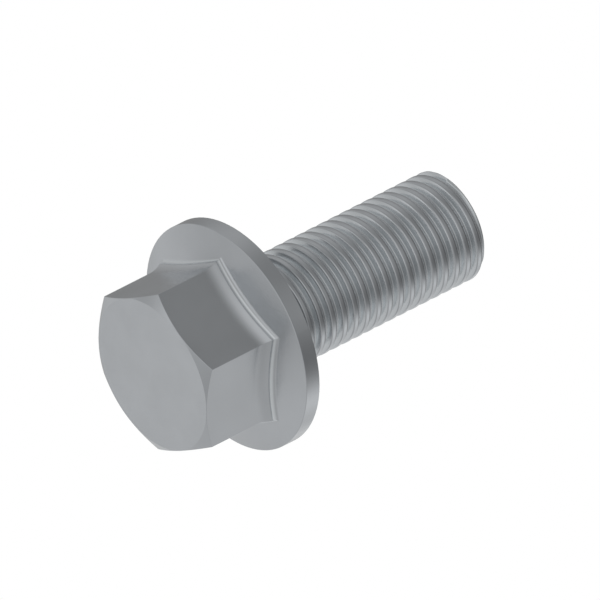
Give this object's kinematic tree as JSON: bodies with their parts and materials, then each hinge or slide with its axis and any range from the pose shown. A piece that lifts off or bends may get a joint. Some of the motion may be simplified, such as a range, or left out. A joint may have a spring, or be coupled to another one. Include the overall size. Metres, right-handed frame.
{
  "type": "flange bolt",
  "caption": "Hex head bolt with a built-in conical flange and a right-hand metric thread up to the head, plain steel grey.",
  "frame": {"origin": "centre of the head's outer face, which the bolt stands on", "axes": "+Z along the bolt's axis from the head to the tip of the thread, +X through a corner of the hex"},
  "size_m": [0.0208, 0.0208, 0.0333],
  "materials": {
    "steel": "satin zinc grey"
  },
  "bodies": {
    "root": {"flange_bolt": "steel"}
  },
  "joints": []
}
